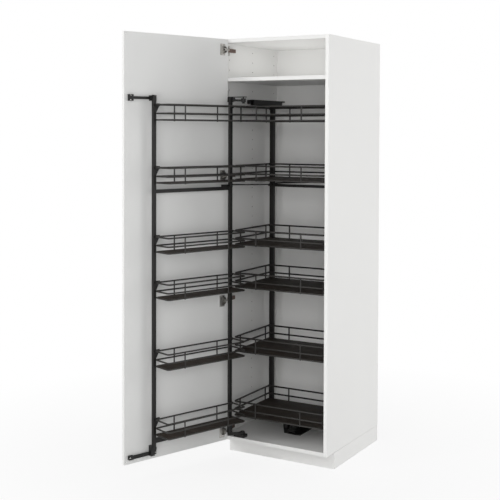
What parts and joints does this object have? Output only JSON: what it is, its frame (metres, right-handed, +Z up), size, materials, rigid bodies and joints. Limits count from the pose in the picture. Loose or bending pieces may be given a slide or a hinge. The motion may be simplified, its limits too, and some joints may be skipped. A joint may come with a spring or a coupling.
{
  "type": "pull out larder unit",
  "caption": "Tall kitchen cabinet with its door open, wire baskets on a swinging door rack and on a linked inner rack that slides forward.",
  "frame": {"origin": "on the floor under the centre of the carcass front plane", "axes": "+X right seen from the front, +Y back into the cabinet, +Z up"},
  "size_m": [0.7757, 1.1642, 2.08],
  "materials": {
    "anthracite": "fine powder coat",
    "black_plastic": "fine grain",
    "board": "satin melamine",
    "grey_plastic": "smooth",
    "nickel": "satin nickel plate",
    "wood": "turned beech"
  },
  "bodies": {
    "cabinet": {"side_panel_left": "board", "side_panel_right": "board", "top_panel": "board", "bottom_panel": "board", "fixed_shelf": "board", "back_panel": "board", "plinth_front": "board", "plinth_side": "board", "cabinet_legs": "black_plastic", "leg_feet": "black_plastic", "plinth_clips": "black_plastic", "panel_dowels": "wood", "wall_brackets": "nickel", "hinge_plates": "nickel", "hinge_plate_screws": "nickel", "hinge_arms": "nickel", "hinge_arm_pins": "nickel", "floor_bearing": "anthracite", "top_bearing": "anthracite", "floor_guide": "anthracite", "guide_rails": "anthracite", "guide_brackets": "anthracite"},
    "hinge_link": {"hinge_links": "nickel"},
    "door": {"door_panel": "board", "hinge_cups": "nickel", "hinge_cup_pins": "nickel", "hinge_cup_screws": "nickel", "door_rails": "anthracite", "door_rail_ends": "anthracite", "door_rail_screws": "nickel", "door_buffers": "grey_plastic"},
    "frame_arm": {"swing_arms": "anthracite"},
    "door_rack": {"door_frame_posts": "anthracite", "door_frame_foot": "black_plastic", "door_frame_crossbars": "anthracite", "rail_sliders": "black_plastic", "door_basket_clips": "black_plastic", "rod_pin_lug": "anthracite", "door_basket_1": "anthracite", "door_basket_2": "anthracite", "door_basket_3": "anthracite", "door_basket_4": "anthracite", "door_basket_5": "anthracite", "door_basket_6": "anthracite"},
    "inner_rack": {"inner_frame_posts": "anthracite", "inner_frame_crossbars": "anthracite", "inner_frame_brace": "anthracite", "inner_basket_clips": "black_plastic", "floor_carriage": "black_plastic", "guide_heads": "black_plastic", "rod_bracket": "anthracite", "inner_basket_1": "anthracite", "inner_basket_2": "anthracite", "inner_basket_3": "anthracite", "inner_basket_4": "anthracite", "inner_basket_5": "anthracite", "inner_basket_6": "anthracite"},
    "coupling_rod": {"coupling_rod": "anthracite"}
  },
  "joints": [
    {"name": "hinge_link_turn", "type": "hinge", "parent": "cabinet", "child": "hinge_link", "pos_m": [-0.2665, 0.006, 1.08], "axis": [0, 0, 1], "range_deg": [-70.89, 0]},
    {"name": "door_turn", "type": "hinge", "parent": "hinge_link", "child": "door", "pos_m": [-0.26271, -0.01512, 1.08], "axis": [0, 0, 1], "range_deg": [0, 180.95]},
    {"name": "swing_arm_turn", "type": "hinge", "parent": "cabinet", "child": "frame_arm", "pos_m": [-0.18258, 0.02531, 0.95], "axis": [0, 0, 1], "range_deg": [-49.17, 0]},
    {"name": "door_rack_turn", "type": "hinge", "parent": "frame_arm", "child": "door_rack", "pos_m": [-0.22772, -0.02281, 0.95], "axis": [0, 0, 1], "range_deg": [0, 159.24]},
    {"name": "inner_rack_slide", "type": "slide", "parent": "cabinet", "child": "inner_rack", "axis": [0, 1, 0], "range_m": [0, 0.1]},
    {"name": "coupling_rod_turn", "type": "hinge", "parent": "inner_rack", "child": "coupling_rod", "pos_m": [-0.242, 0.4, 1.341], "axis": [0, 0, 1], "range_deg": [-3, 0]}
  ],
  "couplings": [
    {"joint": "hinge_link_turn", "follows": "door_turn", "ratio": -0.39173},
    {"joint": "swing_arm_turn", "follows": "door_turn", "ratio": -0.27168},
    {"joint": "door_rack_turn", "follows": "door_turn", "ratio": 0.87996},
    {"joint": "inner_rack_slide", "follows": "door_turn", "m_per_rad": 0.031661},
    {"joint": "coupling_rod_turn", "follows": "door_turn", "ratio": -0.016545}
  ]
}
